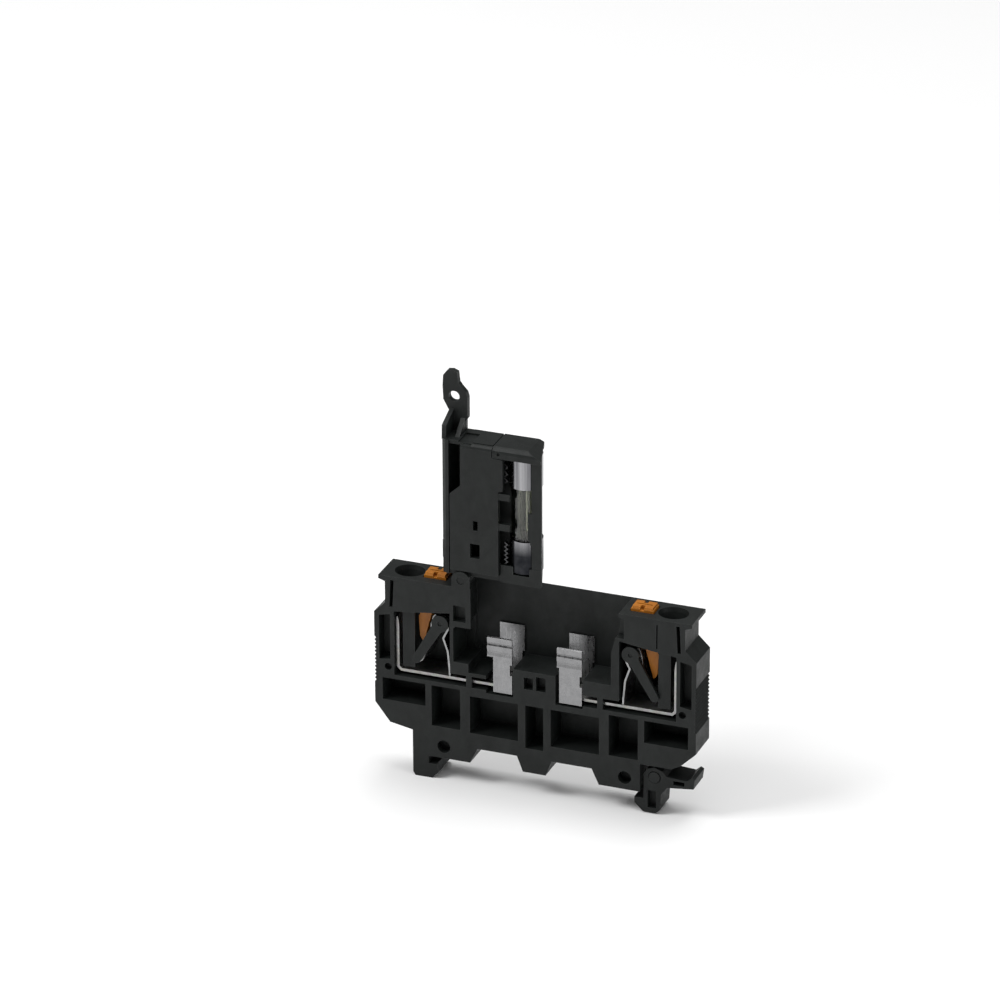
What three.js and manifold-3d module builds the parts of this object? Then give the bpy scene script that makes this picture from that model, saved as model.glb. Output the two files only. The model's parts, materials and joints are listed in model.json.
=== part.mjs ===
// Push-in fuse terminal block: a 6.2 mm slice for a 35 mm rail, with a fuse lever
// that carries a 5 x 20 mm glass fuse. Millimetres, +Z up.
//
// Frame: x runs along the slice from the left wire entry to the right one, y runs
// through its thickness (the open side faces -y), and z = 0 is the rail seat.
// The lever is drawn raised, which is its rest position.
import * as THREE from 'three';
import { mergeVertices } from 'three/addons/utils/BufferGeometryUtils.js';
import Module from 'manifold-3d';

const wasm = await Module();
wasm.setup();

// ---------------------------------------------------------------- dimensions
const TOP = 30;                    // top face above the rail seat
const FRONT = -3.1;                // open side of the slice
const BACK = 3.1;                  // closed side of the slice
const BACK_SKIN = 2.5;             // inner face of the back wall
const POCKET_SKIN = 2.9;           // thinner back wall behind the fuse
const ENTRY_PITCH = 43.37;         // distance between the two wire entries
const HALF = ENTRY_PITCH / 2;

const PIVOT = { x: 9.6, z: 1.2 };  // lever axis, from the left entry and the top face
const EAR_R = 1.5;
const PIN_R = 0.6;
const LEVER_REACH = 25.75;         // farthest lever corner from the axis
const POCKET_REACH = 26.0;         // lever pocket wall from the axis
const POCKET_FLOOR = -12.5;
const POCKET_END = 34.3;           // upright part of that wall, below the curved part

const FUSE = { x: 19.4, y: -0.1, z: 13.5, length: 20 };
const CAP_R = 2.6;
const CAP_LENGTH = 5.6;
const CAP_BORE_R = 2.42;
const CAP_END = 0.25;
const GLASS_R = 2.35;
const GLASS_BORE_R = 1.75;
const CRADLE_R = 2.75;             // hollow in the lever around the fuse caps
const TUBE_CRADLE_R = 2.39;        // and around the glass

const BOSS = { x: 6.0, z: -6.95 }; // clamp spring boss and release arm axis
const BOSS_R = 1.0;
const STRIP = 0.3;                 // clamp spring steel
const BAR = 0.5;                   // current bar thickness
const BAR_TOP = -15.9;             // upper face of each bar's lower run

const CLIP_CENTRE = 21.7;          // midpoint between the two clips
const CLIP_OFFSET = 5.75;          // clip centre from that midpoint
const CLIP_WIDTH = 4.1;
const CLIP_X = [CLIP_CENTRE - CLIP_OFFSET, CLIP_CENTRE + CLIP_OFFSET];
const JAW = 0.3;
const JAW_GAP = 2.64;              // inner face of a jaw from the fuse axis

const LATCH_PIVOT = { x: 41.3, z: -27.4 };

// ---------------------------------------------------------------- helpers
const px = (x) => x - HALF;
const pz = (z) => z + TOP;

// Coordinates are rounded to 0.1 micron, so that faces meant to be level are level.
const snap = (value) => Math.round(value * 1e4) / 1e4;

function toSolid(geometry) {
  const bare = geometry.index ? geometry.toNonIndexed() : geometry.clone();
  bare.deleteAttribute('normal');
  bare.deleteAttribute('uv');
  const merged = mergeVertices(bare, 1e-5);
  return new wasm.Manifold(new wasm.Mesh({
    numProp: 3,
    vertProperties: Float32Array.from(merged.attributes.position.array, snap),
    triVerts: new Uint32Array(merged.index.array),
  }));
}

function toGeometry(solid) {
  const mesh = solid.getMesh();
  const geometry = new THREE.BufferGeometry();
  geometry.setAttribute('position', new THREE.BufferAttribute(mesh.vertProperties, 3));
  geometry.setIndex(new THREE.BufferAttribute(mesh.triVerts, 1));
  geometry.computeVertexNormals();
  return geometry;
}

function shapeOf(points) {
  return new THREE.Shape(points.map(([a, b]) => new THREE.Vector2(a, b)));
}

// Outline in (x, z) layout coordinates, extruded from y0 to y1.
function plate(points, y0, y1) {
  const shape = shapeOf(points.map(([x, z]) => [px(x), pz(z)]));
  const geometry = new THREE.ExtrudeGeometry(shape, { depth: y1 - y0, bevelEnabled: false });
  geometry.rotateX(Math.PI / 2);
  geometry.translate(0, y1, 0);
  return toSolid(geometry);
}

function box(x0, x1, y0, y1, z0, z1) {
  return plate([[x0, z0], [x1, z0], [x1, z1], [x0, z1]], y0, y1);
}

// Outline in (x, y), extruded from z0 to z1.
function column(points, z0, z1) {
  const shape = shapeOf(points.map(([x, y]) => [px(x), y]));
  const geometry = new THREE.ExtrudeGeometry(shape, { depth: z1 - z0, bevelEnabled: false });
  geometry.translate(0, 0, pz(z0));
  return toSolid(geometry);
}

// Outline in (y, z), extruded from x0 to x1.
function slab(points, x0, x1) {
  const shape = shapeOf(points.map(([y, z]) => [y, pz(z)]));
  const geometry = new THREE.ExtrudeGeometry(shape, { depth: x1 - x0, bevelEnabled: false });
  const turn = new THREE.Matrix4().makeBasis(
    new THREE.Vector3(0, 1, 0), new THREE.Vector3(0, 0, 1), new THREE.Vector3(1, 0, 0));
  geometry.applyMatrix4(turn);
  geometry.translate(px(x0), 0, 0);
  return toSolid(geometry);
}

// Cylinder along y.
function rod(x, z, r, y0, y1, segments = 28) {
  const geometry = new THREE.CylinderGeometry(r, r, y1 - y0, segments);
  geometry.translate(px(x), (y0 + y1) / 2, pz(z));
  return toSolid(geometry);
}

// Turned body about a vertical axis; the profile is [radius, height] pairs.
function turned(x, y, profile, segments = 40, depth = 1) {
  const geometry = new THREE.LatheGeometry(
    profile.map(([r, h]) => new THREE.Vector2(r, h)), segments);
  geometry.rotateX(Math.PI / 2);
  geometry.scale(1, depth, 1);
  geometry.translate(px(x), y, TOP);
  return toSolid(geometry);
}

// Strip of constant thickness along a path in (x, z).
function strip(path, thickness) {
  const half = thickness / 2;
  const sides = [[], []];
  path.forEach((point, i) => {
    const before = path[Math.max(i - 1, 0)];
    const after = path[Math.min(i + 1, path.length - 1)];
    const enter = new THREE.Vector2(point[0] - before[0], point[1] - before[1]).normalize();
    const leave = new THREE.Vector2(after[0] - point[0], after[1] - point[1]).normalize();
    const along = enter.clone().add(leave).normalize();
    const length = i === 0 || i === path.length - 1 ? 1 : Math.abs(along.dot(leave));
    const reach = half / Math.max(length, 0.5);
    sides[0].push([point[0] - along.y * reach, point[1] + along.x * reach]);
    sides[1].unshift([point[0] + along.y * reach, point[1] - along.x * reach]);
  });
  return sides[0].concat(sides[1]);
}

function arc(x, z, r, from, to, steps) {
  return Array.from({ length: steps + 1 }, (_, i) => {
    const a = THREE.MathUtils.degToRad(from + (to - from) * i / steps);
    return [x + r * Math.cos(a), z + r * Math.sin(a)];
  });
}

const mirrorX = (solid) => solid.mirror([1, 0, 0]);
const joinAll = (solids) => solids.reduce((sum, next) => sum.add(next));
const cutAll = (solid, cuts) => cuts.reduce((rest, next) => rest.subtract(next), solid);

const model = new THREE.Group();

function addNode(name, solid, color, roughness, metalness) {
  const material = new THREE.MeshStandardMaterial({ color, roughness, metalness });
  const mesh = new THREE.Mesh(toGeometry(solid), material);
  mesh.name = name;
  model.add(mesh);
}

const addBlack = (name, solid) => addNode(name, solid, 0x2b2d2c, 0.5, 0);
const addOrange = (name, solid) => addNode(name, solid, 0xe0781c, 0.42, 0);
const addTin = (name, solid) => addNode(name, solid, 0xc9ccca, 0.28, 1);
const addSteel = (name, solid) => addNode(name, solid, 0x9fa3a6, 0.25, 1);
const addDarkSteel = (name, solid) => addNode(name, solid, 0x4a4b4e, 0.3, 1);

// ---------------------------------------------------------------- housing
const FLANK_TEETH = 12;
const TOOTH = 0.66;

function leftFlank() {
  const points = [[-4.1, 0], [-4.1, -0.6], [-3.0, -0.95], [-3.0, -4.6], [-4.87, -6.4]];
  for (let i = 0; i < FLANK_TEETH; i += 1) {
    const z = -10.6 - TOOTH * i;
    points.push([-4.87, z], [-4.6, z - TOOTH / 2]);
  }
  points.push([-4.87, -10.6 - TOOTH * FLANK_TEETH], [-4.87, -22.0], [-2.4, -25.2]);
  return points;
}

function housing() {
  const left = leftFlank();
  const right = left.map(([x, z]) => [ENTRY_PITCH - x, z]).reverse();
  right.shift();
  const outline = [
    ...left,
    [1.4, -25.9], [1.4, -33.2], [1.8, -33.8], [4.6, -33.8], [5.7, -32.6], [5.4, -31.3],
    [4.0, -31.3], [4.0, -30.0], [11.0, -30.0], [12.2, -27.4], [18.8, -27.4],
    [19.8, -30.0], [23.57, -30.0], [24.57, -27.4], [31.17, -27.4], [32.37, -30.0],
    [39.1, -30.0], [39.1, -25.2], [44.2, -25.2], [45.77, -24.4],
    ...right,
  ];
  let body = plate(outline, FRONT, BACK);

  // Lever ears rise above the top face at the front and the back.
  const ear = [[PIVOT.x - EAR_R, -2.0], [PIVOT.x + EAR_R, -2.0]]
    .concat(arc(PIVOT.x, PIVOT.z, EAR_R, 0, 180, 12));
  body = body.add(plate(ear, FRONT, -2.45)).add(plate(ear, 2.35, BACK));

  // Pocket for the lever and its fuse, open upwards.
  const pocket = (x) => [[x, 6], [x, POCKET_FLOOR], [POCKET_END, POCKET_FLOOR]]
    .concat(arc(PIVOT.x, PIVOT.z, POCKET_REACH, -18, 10.5, 12));
  body = body.subtract(plate(pocket(10.0), -2.6, POCKET_SKIN));
  body = body.subtract(plate(pocket(11.2), FRONT - 1, -2.5));
  body = body.subtract(plate([
    [8.3, -12.9], [8.3, -7.2], [8.7, -6.8], [11.4, -6.8], [11.4, -12.9],
  ], FRONT - 1, BACK_SKIN));
  body = body.subtract(box(10.8, 13.9, FRONT - 1, BACK_SKIN, -14.4, -12.2));
  body = body.subtract(rod(PIVOT.x, PIVOT.z, 1.75, -2.45, 2.35));
  body = body.subtract(rod(PIVOT.x, PIVOT.z, PIN_R + 0.06, FRONT - 1, BACK_SKIN));

  // Clamp chambers, wire entries and button shafts, the same at both ends.
  const chamber = plate([
    [-1.6, -5.9], [2.2, -5.5], [7.75, -4.7], [7.75, -15.0], [9.3, -15.0],
    [9.3, -16.9], [-1.6, -16.9],
  ], FRONT - 1, BACK_SKIN);
  const funnel = turned(0, 0, [
    [0, -7], [1.8, -7], [1.85, -2.4], [2.2, -0.7], [2.45, 0], [2.5, 0.5], [0, 0.5],
  ], 36, 0.88);
  const shaft = plate([
    [2.65, 1], [6.7, 1], [6.7, -5.2], [2.25, -5.7], [2.25, -1.2], [2.65, -0.8],
  ], -1.5, 1.5);
  const slot = plate([[-2.1, -0.6], [-1.5, -0.6], [-1.75, -5.2], [-2.3, -5.2]],
    FRONT - 1, FRONT + 1.4);
  const sidePocket = plate([[-4.1, -6.9], [-2.2, -6.5], [-2.2, -14.2], [-4.1, -14.5]],
    FRONT - 1, FRONT + 2.2);
  const dimple = rod(-2.6, -15.6, 0.62, FRONT - 1, FRONT + 0.9, 20);
  const wells = [[-3.6, 3.6, -17.6, -21.4], [4.6, 9.4, -17.6, -24.6]].map(
    ([x0, x1, z1, z0]) => box(x0, x1, FRONT - 1, BACK_SKIN - 0.9, z0, z1));
  const endCuts = joinAll([chamber, funnel, shaft, slot, sidePocket, dimple, ...wells]);
  body = body.subtract(endCuts).subtract(mirrorX(endCuts));

  // Channels for the current bars and wells for the fuse clips.
  const [barLeft, barRight] = CLIP_X;
  body = body.subtract(box(7, barLeft + 2.1, FRONT - 1, BACK_SKIN, -16.9, -15.0));
  body = body.subtract(box(barRight - 2.1, 36, FRONT - 1, BACK_SKIN, -16.9, -15.0));
  for (const x of [barLeft, barRight]) {
    body = body.subtract(box(x - 2.25, x + 2.25, FRONT - 1, POCKET_SKIN, -17.4, -12));
  }

  // Shallow moulded recesses on the open face.
  const recesses = [
    box(8.3, 10.4, FRONT - 1, FRONT + 1.2, -5.9, -3.2),
    box(34.4, 36.4, FRONT - 1, -1.8, -4.2, -0.7),
    box(41.65, 41.9, FRONT - 1, FRONT + 0.35, -5.0, -0.9),
    box(20.0, 21.5, FRONT - 1, FRONT + 1.4, -15.6, -13.6),
    box(22.0, 23.6, FRONT - 1, FRONT + 1.4, -15.6, -13.2),
    box(11.0, 19.0, FRONT - 1, BACK_SKIN - 0.9, -24.8, -18.4),
    box(20.2, 23.2, FRONT - 1, BACK_SKIN - 0.9, -25.8, -18.4),
    box(24.4, 32.4, FRONT - 1, BACK_SKIN - 0.9, -24.8, -18.4),
    rod(6.6, -28.0, 1.1, FRONT - 1, FRONT + 1.6, 20),
    rod(36.6, -28.0, 1.1, FRONT - 1, FRONT + 1.6, 20),
  ];
  body = cutAll(body, recesses);

  // Wall that guides the wire into each clamp, and a peg that keeps each bar in its channel.
  const guide = box(-0.4, 1.6, -2.3, -1.8, -15.4, -5.2);
  const peg = box(10.4, 11.3, FRONT, -2.6, -17.2, -14.8);
  body = joinAll([body, guide, mirrorX(guide), peg, mirrorX(peg)]);

  // Spring bosses and the bearing of the rail latch.
  const boss = rod(BOSS.x, BOSS.z, BOSS_R, -2.25, BACK_SKIN + 0.2).add(
    rod(BOSS.x, BOSS.z, 0.3, -2.75, -2.2, 16));
  body = body.add(boss).add(mirrorX(boss));
  const bearing = plate([
    [39.0, -25.0], [44.0, -25.0], [42.9, -28.2], [41.3, -29.2], [39.7, -28.2], [39.0, -26.0],
  ], 2.1, BACK);
  body = body.add(bearing).add(rod(LATCH_PIVOT.x, LATCH_PIVOT.z, 0.9, -2.6, 2.3));
  return body;
}

addBlack('housing', housing());

// ---------------------------------------------------------------- lever
const fuseHollow = () => turned(FUSE.x, FUSE.y, [
  [0, FUSE.z - 10.15], [CRADLE_R, FUSE.z - 10.15], [CRADLE_R, FUSE.z - 4.2],
  [TUBE_CRADLE_R, FUSE.z - 4.2], [TUBE_CRADLE_R, FUSE.z + 4.2],
  [CRADLE_R, FUSE.z + 4.2], [CRADLE_R, FUSE.z + 10.15], [0, FUSE.z + 10.15],
], 40);

const LEVER_TOP = 24.45;
const reachCut = () => {
  const outer = [[-30, -30], [60, -30], [60, 60], [-30, 60]];
  const ring = plate(outer, -6, 6);
  return ring.subtract(rod(PIVOT.x, PIVOT.z, LEVER_REACH, -7, 7, 160));
};

const TAB_OUTLINE = [
  [6.2, 24.2], [5.1, 25.4], [6.4, 27.1], [5.2, 29.3], [5.1, 31.5], [5.2, 33.3], [5.9, 34.2],
  [6.7, 34.3], [7.5, 34.0], [7.7, 32.3], [8.15, 31.7], [8.95, 30.85], [9.2, 30.0],
  [9.2, 26.6], [8.85, 26.1], [8.85, 24.2],
];

function leverFrame() {
  // Spine, back web and fuse saddle share one cross-section.
  const core = column([
    [7.5, -2.5], [7.0, -2.5], [6.4, -2.1], [6.15, -1.5], [6.15, 2.1], [6.5, 2.65],
    [17.0, 2.65], [17.0, -0.3], [13.6, -0.3], [13.6, 1.95], [7.5, 1.95],
  ], 1.9, 24.4);
  const topWall = slab([
    [-2.2, 23.8], [2.55, 23.8], [2.55, LEVER_TOP], [-2.2, LEVER_TOP],
  ], 7.4, 10.3);
  const topEnd = slab([
    [-3.05, 22.75], [-2.0, 22.75], [-2.0, 23.35], [2.6, 23.35], [2.6, 24.5],
    [-2.3, 24.5], [-2.65, 24.35], [-2.95, 24.0], [-3.05, 23.6],
  ], 14.9, 22.9);
  const topMiddle = slab([
    [-2.15, 23.3], [2.57, 23.3], [2.57, 24.47], [-2.15, 24.47],
  ], 10.0, 15.4);
  const topSlope = column([[22.9, -3.3], [24, -3.3], [24, 3], [21.2, 3]], 22, 26);
  const bottomWall = column([
    [7.4, -2.25], [22.7, -2.25], [21.1, 2.35], [17.4, 2.35], [17.4, 2.6], [7.4, 2.6],
  ], 1.85, 3.4);
  const bottomLip = box(16.0, 22.6, -2.5, -2.1, 1.8, 4.7);
  const rail = column([
    [21.1, -2.45], [22.75, -2.45], [22.25, -0.9], [21.1, -0.9],
  ], 1.95, 23.8);
  const backing = box(16.5, 21.0, 2.3, 2.5, 3.1, 23.5);
  const lip = box(20.5, 21.3, -2.42, -1.3, 8.7, 14.0);
  const ribs = [7.8, 12.6].map((z) => box(7.3, 14, -2.2, 2.3, z, z + 0.8));
  const hub = rod(PIVOT.x, PIVOT.z, 1.45, -2.35, 2.25);
  const neck = box(8.2, 11.0, -2.1, 2.2, 1.2, 2.4);
  const tab = plate(TAB_OUTLINE, 1.45, 2.4);
  const fin = slab([[-2.0, 24.2], [1.6, 24.2], [1.6, 28.0], [-1.9, 26.5]], 6.25, 6.95);
  const brace = slab([[-1.4, 24.2], [1.6, 24.2], [1.6, 26.7]], 8.1, 8.8);
  const frameRing = box(6.0, 6.6, -1.3, 1.7, 3.9, 6.9);
  const arrow = plate([[6.0, 9.4], [6.5, 9.4], [6.5, 17.4], [6.0, 17.4]], -0.25, 0.45);
  const head = slab([[-0.9, 15.6], [0.1, 18.2], [1.1, 15.6]], 6.0, 6.5);
  let frame = joinAll([core, topWall, topEnd.subtract(topSlope), topMiddle, bottomWall,
    bottomLip, rail, backing, lip, ...ribs, hub, neck, frameRing, arrow, head]);
  frame = frame.subtract(reachCut()).add(tab).add(fin).add(brace);
  frame = cutAll(frame, [
    fuseHollow(),
    rod(7.0, 30.0, 0.88, 0, 4),
    rod(PIVOT.x, PIVOT.z, EAR_R + 0.3, 2.28, 4),
    rod(PIVOT.x, PIVOT.z, PIN_R + 0.06, -4, 4),
    box(5.5, 8.4, -0.8, 1.2, 4.4, 6.4),
    box(9.1, 11.4, -2.6, 1.1, 24.15, 25),
    box(14.7, 14.88, -3.2, 3, 24.2, 25),
    rod(15.9, 23.5, 0.28, -3.2, -2.8, 16),
  ]);
  return frame;
}

function leverSidePlate() {
  const outline = [
    [7.9, 2.9], [15.85, 2.9], [15.85, 17.2], [16.6, 17.4], [16.6, 22.6], [14.8, 22.7],
    [14.8, 24.4], [11.4, 24.4], [11.4, 24.1], [9.7, 24.1], [9.65, 17.3], [7.9, 15.7],
  ];
  let body = plate(outline, FRONT, -2.28);
  const rounding = slab([
    [-3.2, 23.75], [-3.08, 23.75], [-2.95, 24.1], [-2.7, 24.35], [-2.2, 24.45],
    [-2.2, 25], [-3.2, 25],
  ], 9, 15);
  body = body.subtract(rounding);
  for (const z of [11.3, 16.4]) {
    body = body.add(box(15.5, 17.7, -3.0, -2.28, z - 0.55, z + 0.55));
  }
  return cutAll(body, [
    box(11.7, 12.5, -4, -2, 10.1, 11.7),
    box(11.2, 12.8, -4, -2, 5.4, 7.8),
  ]);
}

// Thin waved leaf beside a fuse cap that feeds the indicator; its foot is on the saddle.
function indicatorLeaf(z0, waves, pitch) {
  const path = [[16.1, z0], [16.5, z0 + 0.1]];
  for (let i = 0; i < waves; i += 1) {
    const z = z0 + 0.6 + pitch * i;
    path.push([17.0, z], [16.55, z + pitch / 2]);
  }
  const foot = box(15.6, 16.2, -2.1, -0.31, z0 - 0.35, z0 + 0.07);
  return plate(strip(path, 0.16), -2.1, -1.5).add(foot);
}

addBlack('lever_frame', leverFrame());
addBlack('lever_side_plate', leverSidePlate());
addBlack('lever_pivot_pin', rod(PIVOT.x, PIVOT.z, PIN_R, FRONT + 0.1, BACK_SKIN - 0.05, 24));
addDarkSteel('indicator_contact_upper', indicatorLeaf(18.2, 3, 1.15));
addDarkSteel('indicator_contact_lower', indicatorLeaf(4.6, 5, 0.72));
addNode('indicator_window', box(6.15, 7.6, -0.72, 1.12, 4.48, 6.32), 0xb9b4a4, 0.25, 0);

// ---------------------------------------------------------------- fuse
const fuseZ = (offset) => FUSE.z + offset;
const halfFuse = FUSE.length / 2;

function fuseCap(up) {
  const s = up ? 1 : -1;
  const profile = [
    [0, halfFuse], [CAP_R - 0.25, halfFuse], [CAP_R, halfFuse - 0.25],
    [CAP_R, halfFuse - CAP_LENGTH], [CAP_BORE_R, halfFuse - CAP_LENGTH],
    [CAP_BORE_R, halfFuse - CAP_END], [0, halfFuse - CAP_END],
  ].map(([r, h]) => [r, fuseZ(s * h)]);
  return turned(FUSE.x, FUSE.y, up ? profile.reverse() : profile, 40);
}

function solderBead(up) {
  const s = up ? 1 : -1;
  const base = halfFuse - CAP_END - 0.02;
  const profile = [[0, base], [1.3, base], [1.1, base - 0.5], [0.5, base - 0.85], [0, base - 0.9]]
    .map(([r, h]) => [r, fuseZ(s * h)]);
  return turned(FUSE.x, FUSE.y, up ? profile.reverse() : profile, 24);
}

const glassHalf = halfFuse - CAP_END - 0.05;
addNode('fuse_glass_tube', turned(FUSE.x, FUSE.y, [
  [GLASS_BORE_R, fuseZ(-glassHalf)], [GLASS_R, fuseZ(-glassHalf)],
  [GLASS_R, fuseZ(glassHalf)], [GLASS_BORE_R, fuseZ(glassHalf)],
  [GLASS_BORE_R, fuseZ(-glassHalf)],
], 40), 0x8f9284, 0.08, 0);
addTin('fuse_cap_upper', fuseCap(true));
addTin('fuse_cap_lower', fuseCap(false));
addSteel('fuse_solder_upper', solderBead(true));
addSteel('fuse_solder_lower', solderBead(false));
const wireEnd = halfFuse - CAP_END - 0.95;
addSteel('fuse_wire', turned(FUSE.x, FUSE.y, [
  [0, fuseZ(-wireEnd)], [0.1, fuseZ(-wireEnd)], [0.1, fuseZ(wireEnd)], [0, fuseZ(wireEnd)],
], 12));

// ---------------------------------------------------------------- clamps
function button() {
  const body = plate([
    [2.85, 0.35], [6.5, 0.35], [6.5, -1.7], [4.1, -3.3], [4.05, -6.2], [3.1, -9.8],
    [2.8, -11.0], [2.45, -10.9], [2.1, -10.2], [1.9, -6.9], [2.4, -5.9], [2.4, -1.6],
    [2.85, -1.2],
  ], -1.33, 1.33);
  const crown = slab([[-1.33, 0.3], [1.33, 0.3], [1.1, 0.75], [-1.1, 0.75]], 3.0, 6.3);
  return cutAll(body.add(crown), [
    box(4.35, 5.0, -2, -0.45, 0.15, 1),
    box(4.35, 5.0, 0.45, 2, 0.15, 1),
    box(3.4, 5.9, -0.14, 0.14, 0.3, 1),
  ]);
}

const LOOP_R = BOSS_R + 0.1 + STRIP / 2;

function clampSpring() {
  const path = arc(BOSS.x, BOSS.z, LOOP_R, 108, -20, 12).concat([
    [7.05, -8.1], [6.3, -9.6], [7.05, -11.8], [7.35, -15.0], [7.35, BAR_TOP + 0.02],
  ]);
  return plate(strip(path, STRIP), -2.25, 2.25);
}

function clampLeg() {
  const path = arc(BOSS.x, BOSS.z, LOOP_R + 0.2, 128, 150, 2).concat([
    [4.4, -7.4], [4.3, -8.8], [3.95, -11.1], [2.75, -13.9], [1.9, -14.5],
  ]);
  return plate(strip(path, STRIP), -2.2, 2.2);
}

// The cheek turns on the boss pin; its crossbar lies against the clamping leg.
const ARM_TIP = { x: 2.05, z: -13.6 };
const ARM_HEAD_R = 1.4;

function releaseArm() {
  const angle = THREE.MathUtils.radToDeg(Math.atan2(ARM_TIP.z - BOSS.z, ARM_TIP.x - BOSS.x));
  const outline = arc(BOSS.x, BOSS.z, ARM_HEAD_R, angle + 40, angle + 320, 24).concat(
    arc(ARM_TIP.x, ARM_TIP.z, 0.7, angle - 90, angle + 90, 8));
  const cheek = plate(outline, -2.9, -2.35);
  const crossbar = rod(2.35, -12.9, 0.42, -2.6, 1.9, 16);
  return cheek.add(crossbar).subtract(rod(BOSS.x, BOSS.z, 0.36, -4, -2, 16));
}

function currentBar(clipX) {
  const end = clipX + 1.4;
  const inner = -1.0;
  const outer = inner - BAR;
  return plate([
    [outer - 0.05, -7.2], [outer + 0.25, -7.0], [inner - 0.1, -7.7], [inner, -8.6],
    [inner, BAR_TOP + 0.4], [inner + 0.4, BAR_TOP], [end, BAR_TOP], [end, BAR_TOP - BAR],
    [inner + 0.2, BAR_TOP - BAR], [outer, BAR_TOP + 0.2], [outer, -8.9],
    [outer - 0.05, -8.0],
  ], -2.35, 2.3);
}

function fuseClip(x, bladeStep) {
  const axis = PIVOT.z + PIVOT.x - FUSE.x;
  const x0 = x - CLIP_WIDTH / 2;
  const x1 = x + CLIP_WIDTH / 2;
  const foot = -17.0;
  const inner = JAW_GAP;
  const jaw = (s) => {
    const mid = FUSE.y;
    const line = [
      [inner - 0.02, foot], [inner - 0.02, axis - 3.4], [inner, axis - 1.2],
      [inner, axis + 1.0], [inner + JAW, axis + 0.9], [inner + JAW, axis + 0.1],
      [inner + JAW - 0.12, axis - 0.2], [inner + JAW, axis - 0.5],
      [inner + JAW, axis - 1.3], [inner + JAW - 0.12, axis - 1.7],
      [inner + JAW - 0.02, axis - 2.2],
      [inner + JAW - 0.02, foot],
    ].map(([y, z]) => [mid + s * y, z]);
    return slab(s < 0 ? line.reverse() : line, x0, x1);
  };
  const bridge = box(x0, x1, FUSE.y - inner - 0.1, FUSE.y + inner + 0.1, foot, foot + 0.32);
  const bladeCut = box(x0 - 1, x0 + bladeStep, FRONT - 1, 4, foot - 1, axis - 2.4);
  const neckCut = box(x1 - 0.35, x1 + 1, FRONT - 1, 4, axis - 5.2, axis - 3.4);
  return cutAll(joinAll([jaw(-1), jaw(1), bridge]), [bladeCut, neckCut]);
}

const SIDES = [
  { name: 'left', flip: (s) => s, clip: CLIP_X[0], reach: CLIP_X[0], step: 1.0 },
  { name: 'right', flip: mirrorX, clip: CLIP_X[1], reach: ENTRY_PITCH - CLIP_X[1], step: 0.4 },
];
for (const { name, flip, clip, reach, step } of SIDES) {
  addOrange(`button_${name}`, flip(button()));
  addSteel(`clamp_spring_${name}`, flip(clampSpring()));
  addSteel(`clamp_leg_${name}`, flip(clampLeg()));
  addBlack(`release_arm_${name}`, flip(releaseArm()));
  addTin(`current_bar_${name}`, flip(currentBar(reach)));
  addTin(`fuse_clip_${name}`, fuseClip(clip, step));
}

// ---------------------------------------------------------------- rail latch
function railLatch() {
  const body = plate([
    [39.5, -27.2], [40.1, -26.1], [41.3, -25.7], [42.6, -26.2], [43.3, -27.0],
    [46.6, -27.2], [47.4, -26.5], [47.9, -26.8], [47.7, -28.4], [43.4, -28.9], [42.4, -30.2],
    [42.2, -33.0], [41.6, -33.6], [39.4, -33.6], [38.0, -32.3], [38.0, -31.3], [39.5, -31.3],
  ], -2.5, 2.0);
  return cutAll(body, [
    rod(LATCH_PIVOT.x, LATCH_PIVOT.z, 1.0, -4, 4),
    box(44.4, 46.2, -4, -1.2, -28.2, -27.5),
    box(40.2, 41.6, -4, -1.4, -32.8, -29.8),
  ]);
}

addBlack('rail_latch', railLatch());

export default model;
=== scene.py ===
import bpy
import json
import math
from mathutils import Matrix, Vector


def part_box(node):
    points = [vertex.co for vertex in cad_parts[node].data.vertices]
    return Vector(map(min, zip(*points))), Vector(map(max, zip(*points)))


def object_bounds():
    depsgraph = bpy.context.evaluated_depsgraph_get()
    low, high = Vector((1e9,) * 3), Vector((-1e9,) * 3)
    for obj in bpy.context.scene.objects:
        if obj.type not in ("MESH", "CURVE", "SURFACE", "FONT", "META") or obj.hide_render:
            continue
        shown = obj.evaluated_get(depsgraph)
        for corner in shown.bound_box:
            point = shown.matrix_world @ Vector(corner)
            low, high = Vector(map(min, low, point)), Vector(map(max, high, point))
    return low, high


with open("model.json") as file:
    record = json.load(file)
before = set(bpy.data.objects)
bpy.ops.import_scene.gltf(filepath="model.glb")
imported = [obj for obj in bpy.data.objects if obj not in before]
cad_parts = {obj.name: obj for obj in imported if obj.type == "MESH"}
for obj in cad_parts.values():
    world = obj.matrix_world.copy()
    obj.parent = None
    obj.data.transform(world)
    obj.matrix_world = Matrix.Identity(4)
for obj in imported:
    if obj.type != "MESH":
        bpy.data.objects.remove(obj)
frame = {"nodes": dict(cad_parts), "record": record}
CAD_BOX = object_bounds()
NODES = frame["nodes"]
MM = 0.001
WHITE = (1, 1, 1)

# ------------------------------------------------------------------ camera
CAMERA_AT = Vector((0.3069, -0.8118, 0.4458))
CAMERA_TURN = math.radians(20.48)
CAMERA_TILT = math.radians(24.76)
CAMERA_LENS = 225.04
CAMERA_SHIFT = -0.0635


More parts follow.
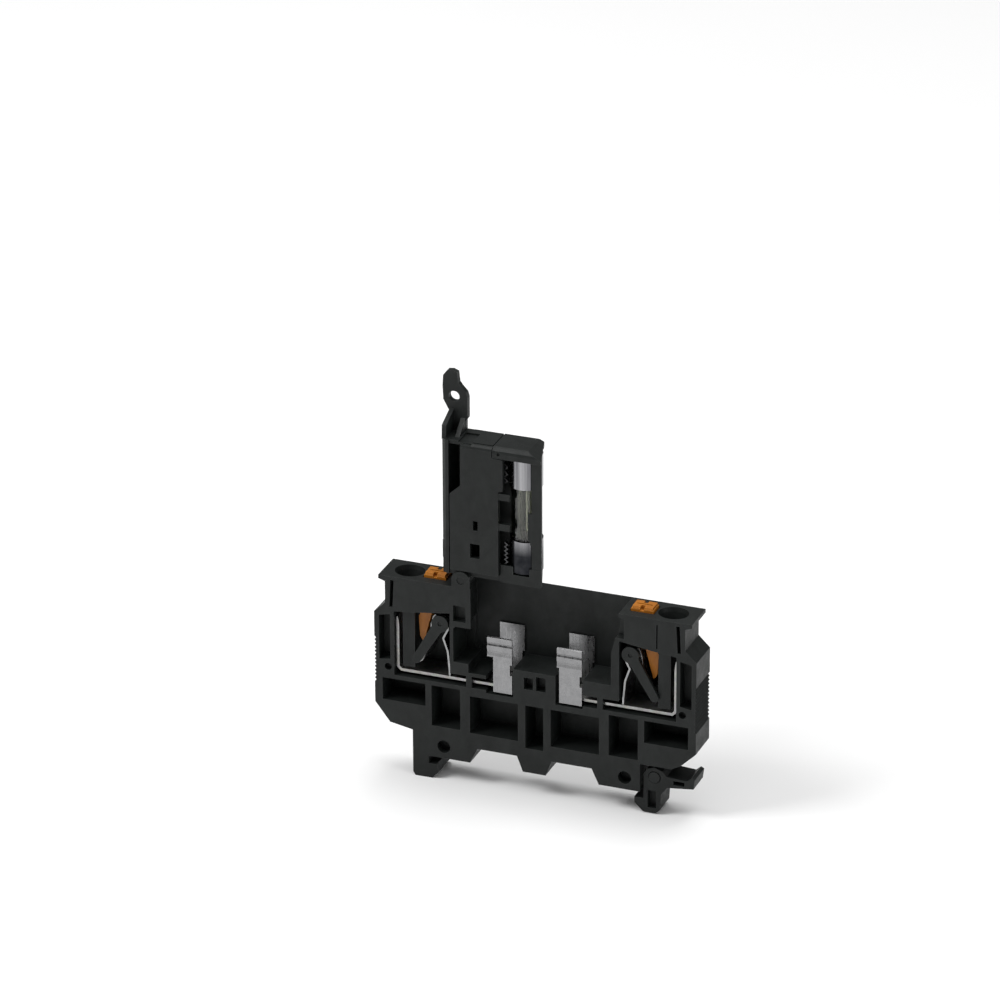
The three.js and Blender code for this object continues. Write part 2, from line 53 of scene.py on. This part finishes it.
def add_camera():
    data = bpy.data.cameras.new("camera")
    data.lens = CAMERA_LENS
    data.sensor_width = 36.0
    data.shift_x = CAMERA_SHIFT
    data.clip_start = 0.01
    data.clip_end = 20.0
    camera = bpy.data.objects.new("camera", data)
    right = Vector((math.cos(CAMERA_TURN), math.sin(CAMERA_TURN), 0.0))
    ahead = Vector((-math.sin(CAMERA_TURN) * math.cos(CAMERA_TILT),
                    math.cos(CAMERA_TURN) * math.cos(CAMERA_TILT),
                    -math.sin(CAMERA_TILT)))
    up = right.cross(ahead)
    turn = Matrix((right, up, -ahead)).transposed().to_4x4()
    camera.matrix_world = Matrix.Translation(CAMERA_AT) @ turn
    bpy.context.scene.collection.objects.link(camera)
    bpy.context.scene.camera = camera


add_camera()


# ------------------------------------------------------------------ materials
RUBBED_EDGE = 0.16 * MM
# width of the painted highlight on metal edges
PAINTED_EDGE_HIGHLIGHT = 0.13 * MM
# painted shade in grooves and corners of metal parts: how far it reaches, and its darkest colour
GROOVE_REACH = 0.5 * MM
GROOVE_SHADE = (0.12, 0.12, 0.12)
PAINTED_SHADE_FULL = 2.4 * MM  # painted shade (a dark reflection) is full this far below the top of the lower cap
PAINTED_SHADE_NONE = 0.5 * MM  # above it


class Shader:
    """A Principled material with helpers for small procedural node trees.

    Textures are measured in object coordinates, with noise and cell sizes per millimetre."""

    def __init__(self, name):
        self.material = bpy.data.materials.new(name)
        self.material.use_nodes = True
        self.tree = self.material.node_tree
        self.tree.nodes.clear()
        self.bsdf = self.node("ShaderNodeBsdfPrincipled")
        output = self.node("ShaderNodeOutputMaterial")
        self.link(self.bsdf.outputs["BSDF"], output.inputs["Surface"])
        self.coordinates = self.node("ShaderNodeTexCoord").outputs["Object"]

    def node(self, kind, **settings):
        made = self.tree.nodes.new(kind)
        for key, value in settings.items():
            setattr(made, key, value)
        return made

    def link(self, a, b):
        self.tree.links.new(a, b)

    def set(self, **values):
        for key, value in values.items():
            self.bsdf.inputs[key.replace("_", " ")].default_value = value

    def stretched(self, scale):
        """Object coordinates in millimetres, times a scale for each axis."""
        mapping = self.node("ShaderNodeMapping")
        mapping.inputs["Scale"].default_value = [1000.0 * s for s in scale]
        self.link(self.coordinates, mapping.inputs["Vector"])
        return mapping.outputs["Vector"]

    def height(self):
        split = self.node("ShaderNodeSeparateXYZ")
        self.link(self.coordinates, split.inputs["Vector"])
        return split.outputs["Z"]

    def noise(self, scale=(1, 1, 1), size=1.0, detail=3.0, rough=0.5, warp=0.0):
        made = self.node("ShaderNodeTexNoise")
        made.inputs["Scale"].default_value = size
        made.inputs["Detail"].default_value = detail
        made.inputs["Roughness"].default_value = rough
        made.inputs["Distortion"].default_value = warp
        self.link(self.stretched(scale), made.inputs["Vector"])
        return made.outputs["Fac"]

    def cells(self, size):
        made = self.node("ShaderNodeTexVoronoi")
        made.inputs["Scale"].default_value = size
        self.link(self.stretched((1, 1, 1)), made.inputs["Vector"])
        return made

    def span(self, source, low, high, start=0.3, stop=0.7):
        made = self.node("ShaderNodeMapRange")
        for key, value in zip(("From Min", "From Max", "To Min", "To Max"),
                              (start, stop, low, high)):
            made.inputs[key].default_value = value
        self.link(source, made.inputs["Value"])
        return made.outputs["Result"]

    def mix(self, factor, a, b, kind="MIX"):
        made = self.node("ShaderNodeMix", data_type="RGBA", blend_type=kind)
        for source, at in ((factor, 0), (a, 6), (b, 7)):
            if isinstance(source, bpy.types.NodeSocket):
                self.link(source, made.inputs[at])
            elif at:
                made.inputs[at].default_value = (*source, 1.0)
            else:
                made.inputs[at].default_value = source
        return made.outputs[2]

    def combine(self, kind, a, b):
        made = self.node("ShaderNodeMath", operation=kind)
        for at, source in enumerate((a, b)):
            if isinstance(source, bpy.types.NodeSocket):
                self.link(source, made.inputs[at])
            else:
                made.inputs[at].default_value = source
        return made.outputs[0]

    def edges(self, radius):
        """Near 1 on edges within radius, 0 on flat faces."""
        bevel = self.node("ShaderNodeBevel", samples=6)
        bevel.inputs["Radius"].default_value = radius
        geometry = self.node("ShaderNodeNewGeometry")
        dot = self.node("ShaderNodeVectorMath", operation="DOT_PRODUCT")
        self.link(bevel.outputs["Normal"], dot.inputs[0])
        self.link(geometry.outputs["Normal"], dot.inputs[1])
        return self.span(dot.outputs["Value"], 1.0, 0.0, 0.86, 0.995)

    def crevices(self, reach, low=0.35):
        """1 on open faces, falling to low in grooves and corners within reach; the mask for
        painted shade.
        """
        made = self.node("ShaderNodeAmbientOcclusion", samples=16)
        made.inputs["Distance"].default_value = reach
        return self.span(made.outputs["AO"], low, 1.0, 0.25, 0.85)

    def bump(self, *layers):
        """Each layer is (height, strength, distance in mm)."""
        last = None
        for height, strength, distance in layers:
            made = self.node("ShaderNodeBump")
            made.inputs["Strength"].default_value = strength
            made.inputs["Distance"].default_value = distance * MM
            self.link(height, made.inputs["Height"])
            if last is not None:
                self.link(last, made.inputs["Normal"])
            last = made.outputs["Normal"]
        self.link(last, self.bsdf.inputs["Normal"])

    def color(self, socket):
        self.link(socket, self.bsdf.inputs["Base Color"])

    def roughness(self, socket):
        self.link(socket, self.bsdf.inputs["Roughness"])


def moulded_plastic(name, dark, light, worn, rough, grain=7.0):
    """Injection-moulded plastic: eroded texture, flow mottling, rubbed edges."""
    s = Shader(name)
    flow = s.noise((0.35, 0.5, 0.16), 1.0, 4.0, 0.6, 0.8)
    grain_height = s.noise((1, 1, 1), grain, 3.0, 0.62)
    pits = s.cells(grain * 0.62).outputs["Distance"]
    base = s.mix(s.span(flow, 0.0, 1.0, 0.32), dark, light)
    fleck = s.span(grain_height, 0.0, 0.22, 0.42, 0.66)
    base = s.mix(fleck, base, light)
    rub = s.combine("MULTIPLY", s.edges(RUBBED_EDGE), s.span(s.noise(size=1.7), 0.25, 0.9))
    s.color(s.mix(rub, base, worn))
    dull = s.span(grain_height, rough - 0.07, rough + 0.09, 0.36, 0.64)
    patch = s.span(s.noise((0.6, 0.6, 0.6), 1.0, 2.0), -0.05, 0.06)
    polish = s.combine("MULTIPLY", rub, 0.12)
    s.roughness(s.combine("ADD", s.combine("SUBTRACT", dull, polish), patch))
    s.bump((pits, 0.28, 0.02), (grain_height, 0.4, 0.025))
    return s


def plated_metal(name, dark, light, grain, rough, streak, cells=0.0, shine=0.35):
    """Rolled or plated metal: streaks along the strip, faint cells, handling marks, painted
    shade in grooves and corners, and painted highlights on edges.

    streak is the streaks' fineness along each axis, and shine how much they lighten towards
    grain, which also colours the painted highlight on edges."""
    s = Shader(name)
    s.set(Metallic=1.0)
    streaks = s.noise(streak, 1.0, 5.0, 0.65)
    cloud = s.noise((0.7, 0.7, 0.7), 1.0, 3.0, 0.55, 0.6)
    base = s.mix(s.span(cloud, 0.0, 1.0), dark, light)
    base = s.mix(s.span(streaks, 0.0, shine), base, grain)
    if cells:
        spangle = s.cells(cells).outputs["Color"]
        base = s.mix(0.05, base, spangle, "OVERLAY")
    # painted shade: metal darkened in grooves and corners by an ambient-occlusion mask
    painted_groove_shade = s.mix(s.crevices(GROOVE_REACH), GROOVE_SHADE, WHITE)
    base = s.mix(1.0, base, painted_groove_shade, "MULTIPLY")
    # painted highlight: metal edges lightened towards the grain colour
    s.color(s.mix(s.combine("MULTIPLY", s.edges(PAINTED_EDGE_HIGHLIGHT), 0.7), base, grain))
    polish = s.span(streaks, rough - 0.06, rough + 0.12, 0.35, 0.65)
    smear = s.span(s.noise(size=2.2, detail=4.0, warp=1.2), -0.05, 0.1)
    s.roughness(s.combine("ADD", polish, smear))
    s.bump((streaks, 0.08, 0.010), (s.noise(size=14.0, detail=2.0), 0.05, 0.004))
    return s


BLACK = moulded_plastic("black_plastic", (0.0050, 0.0062, 0.0058), (0.0105, 0.0125, 0.0118),
                        (0.030, 0.034, 0.033), 0.50)
BLACK.set(Specular_IOR_Level=0.26)
ORANGE = moulded_plastic("orange_plastic", (0.30, 0.096, 0.007), (0.40, 0.138, 0.010),
                         (0.52, 0.22, 0.03), 0.42, 8.0)
ORANGE.set(Specular_IOR_Level=0.35)
STEEL = plated_metal("spring_steel", (0.20, 0.21, 0.22), (0.33, 0.33, 0.33),
                     (0.48, 0.48, 0.47), 0.28, (0.15, 7.0, 0.15))
DARK_STEEL = plated_metal("dark_steel", (0.030, 0.030, 0.034), (0.065, 0.066, 0.070),
                          (0.14, 0.14, 0.14), 0.30, (4.0, 0.3, 0.3))
COPPER = plated_metal("tinned_copper", (0.26, 0.26, 0.25), (0.38, 0.38, 0.37),
                      (0.52, 0.52, 0.50), 0.34, (0.3, 6.0, 0.3), cells=1.8)
CONTACT = plated_metal("tinned_contact", (0.21, 0.21, 0.215), (0.26, 0.26, 0.265),
                       (0.46, 0.46, 0.46), 0.26, (3.0, 0.25, 0.25), shine=0.22)
SOLDER = plated_metal("solder", (0.36, 0.36, 0.36), (0.58, 0.58, 0.57),
                      (0.66, 0.66, 0.65), 0.38, (2.0, 2.0, 2.0), cells=3.0)
WIRE = plated_metal("fuse_element", (0.48, 0.48, 0.46), (0.66, 0.66, 0.64),
                    (0.80, 0.80, 0.78), 0.28, (0.5, 0.5, 12.0))


def fuse_glass():
    s = Shader("glass")
    s.set(Transmission_Weight=1.0, IOR=1.5, Specular_IOR_Level=0.5)
    haze = s.noise((0.5, 0.5, 0.2), 1.0, 4.0, 0.6, 0.5)
    s.color(s.mix(s.span(haze, 0.0, 1.0), (0.64, 0.66, 0.56), (0.76, 0.78, 0.68)))
    s.roughness(s.span(s.noise(size=3.0, detail=5.0), 0.01, 0.07, 0.4, 0.75))
    s.bump((s.noise((0.8, 0.8, 0.3), 1.0, 2.0), 0.10, 0.05))
    return s


def fuse_cap():
    """Drawn nickel caps: painted reflection bands along the fuse, and painted shade (a dark
    reflection) low on the lower cap, which is also rougher there.
    """
    s = Shader("nickel_cap")
    s.set(Metallic=1.0)
    # painted reflection: broad light and dark bands along the caps, standing in for reflected
    # surroundings
    painted_reflection_bands = s.noise((0.75, 0.75, 0.01), 1.0, 2.0, 0.4)
    lines = s.noise((6.0, 6.0, 0.12), 1.0, 4.0, 0.6)
    base = s.mix(s.span(painted_reflection_bands, 0.0, 1.0, 0.38, 0.60), (0.12, 0.12, 0.13), (0.38, 0.38, 0.39))
    base = s.mix(s.span(lines, 0.0, 0.25), base, (0.56, 0.56, 0.57))
    lower_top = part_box("fuse_cap_lower")[1][2]
    # painted shade: the lower cap darkened towards its bottom, standing in for a dark reflection
    painted_shade = s.span(s.height(), 1.0, 0.0, lower_top - PAINTED_SHADE_FULL, lower_top + PAINTED_SHADE_NONE)
    patchy_painted_shade = s.combine("MULTIPLY", painted_shade, s.span(s.noise(size=0.8), 0.93, 1.0))
    s.color(s.mix(patchy_painted_shade, base, (0.014, 0.015, 0.018)))
    s.roughness(s.combine("ADD", s.span(lines, 0.12, 0.24), s.combine("MULTIPLY", patchy_painted_shade, 0.14)))
    s.bump((lines, 0.06, 0.008), (s.noise(size=9.0, detail=2.0), 0.04, 0.004))
    return s


def smoky_window():
    s = Shader("clear_plastic")
    s.set(Transmission_Weight=0.55, IOR=1.49)
    cloud = s.noise(size=1.3, detail=4.0, warp=0.7)
    s.color(s.mix(s.span(cloud, 0.0, 1.0), (0.34, 0.33, 0.29), (0.50, 0.49, 0.44)))
    s.roughness(s.span(s.noise(size=6.0), 0.12, 0.28))
    s.bump((s.noise(size=9.0, detail=2.0), 0.15, 0.01))
    return s


SLOT_SHADERS = {
    "black_plastic": BLACK, "orange_plastic": ORANGE, "spring_steel": STEEL,
    "dark_steel": DARK_STEEL, "tinned_copper": COPPER, "tinned_contact": CONTACT,
    "nickel_cap": fuse_cap(), "solder": SOLDER, "fuse_element": WIRE, "glass": fuse_glass(),
    "clear_plastic": smoky_window(),
}
SLOT_OF = {row["node"]: row["material_slot"] for row in frame["record"]["subparts"]}

for name, piece in NODES.items():
    piece.data.materials.clear()
    piece.data.materials.append(SLOT_SHADERS[SLOT_OF[name]].material)

# ------------------------------------------------------------------ edges
EDGE_WIDTH = {  # millimetres
    "housing": 0.09, "lever_frame": 0.09, "lever_side_plate": 0.12, "rail_latch": 0.12,
    "button_left": 0.09, "button_right": 0.09, "release_arm_left": 0.07,
    "release_arm_right": 0.07, "current_bar_left": 0.06, "current_bar_right": 0.06,
    "fuse_clip_left": 0.05, "fuse_clip_right": 0.05, "clamp_spring_left": 0.04,
    "clamp_spring_right": 0.04, "clamp_leg_left": 0.04, "clamp_leg_right": 0.04,
    "indicator_window": 0.08,
}
EDGE_ANGLE = math.radians(32)
EDGE_SEGMENTS = 2
WELD_DISTANCE = 1e-6


def round_edges(name, width):
    piece = NODES[name]
    weld = piece.modifiers.new("weld", "WELD")
    weld.merge_threshold = WELD_DISTANCE
    bevel = piece.modifiers.new("edges", "BEVEL")
    bevel.width = width * MM
    bevel.segments = EDGE_SEGMENTS
    bevel.limit_method = "ANGLE"
    bevel.angle_limit = EDGE_ANGLE
    bevel.harden_normals = True
    bevel.use_clamp_overlap = True


for node_name, edge in EDGE_WIDTH.items():
    round_edges(node_name, edge)


# ------------------------------------------------------------------ stage
FLOOR_Z = CAD_BOX[0][2]
FLOOR_HALF = 3.0
LIGHTS_AIM = Vector((0.0, 0.0, 0.02))
LIGHTS = (  # name, place, width and height, watts
    ("key", (-0.45, -0.30, 0.60), (0.30, 0.30), 3.6),
    ("top", (0.05, 0.20, 0.80), (0.5, 0.4), 2.2),
    ("side", (0.70, -0.25, 0.30), (0.25, 0.4), 1.1),
)
SKY_HORIZON = 0.14
SKY_ZENITH = 1.25


def add_floor():
    half = FLOOR_HALF
    mesh = bpy.data.meshes.new("floor")
    mesh.from_pydata([(-half, -half, 0), (half, -half, 0), (half, half, 0), (-half, half, 0)],
                     [], [(0, 1, 2, 3)])
    floor = bpy.data.objects.new("floor", mesh)
    floor.location = (0, 0, FLOOR_Z)
    bpy.context.scene.collection.objects.link(floor)
    s = Shader("floor")
    cloud = s.noise((0.004, 0.004, 0.004))
    s.color(s.mix(s.span(cloud, 0, 1), (0.86, 0.86, 0.86), (0.90, 0.90, 0.90)))
    s.set(Roughness=0.8)
    mesh.materials.append(s.material)


def add_light(name, at, size, power):
    data = bpy.data.lights.new(name, "AREA")
    data.shape = "RECTANGLE"
    data.size, data.size_y = size
    data.energy = power
    light = bpy.data.objects.new(name, data)
    light.location = at
    aim = LIGHTS_AIM - Vector(at)
    light.rotation_euler = aim.to_track_quat("-Z", "Y").to_euler()
    bpy.context.scene.collection.objects.link(light)


def add_sky(horizon, zenith):
    """White studio surroundings, dimmer at the horizon than overhead."""
    world = bpy.data.worlds.new("world")
    world.use_nodes = True
    tree = world.node_tree
    split = tree.nodes.new("ShaderNodeSeparateXYZ")
    direction = tree.nodes.new("ShaderNodeTexCoord").outputs["Generated"]
    tree.links.new(direction, split.inputs["Vector"])
    span = tree.nodes.new("ShaderNodeMapRange")
    for key, value in zip(("From Min", "From Max", "To Min", "To Max"),
                          (0.5, 1.0, horizon, zenith)):
        span.inputs[key].default_value = value
    tree.links.new(split.outputs["Z"], span.inputs["Value"])
    tree.links.new(span.outputs["Result"], tree.nodes["Background"].inputs["Strength"])
    tree.nodes["Background"].inputs["Color"].default_value = (1, 1, 1, 1)
    bpy.context.scene.world = world


add_floor()
for light_row in LIGHTS:
    add_light(*light_row)
add_sky(SKY_HORIZON, SKY_ZENITH)
bpy.context.scene.view_settings.view_transform = "Standard"
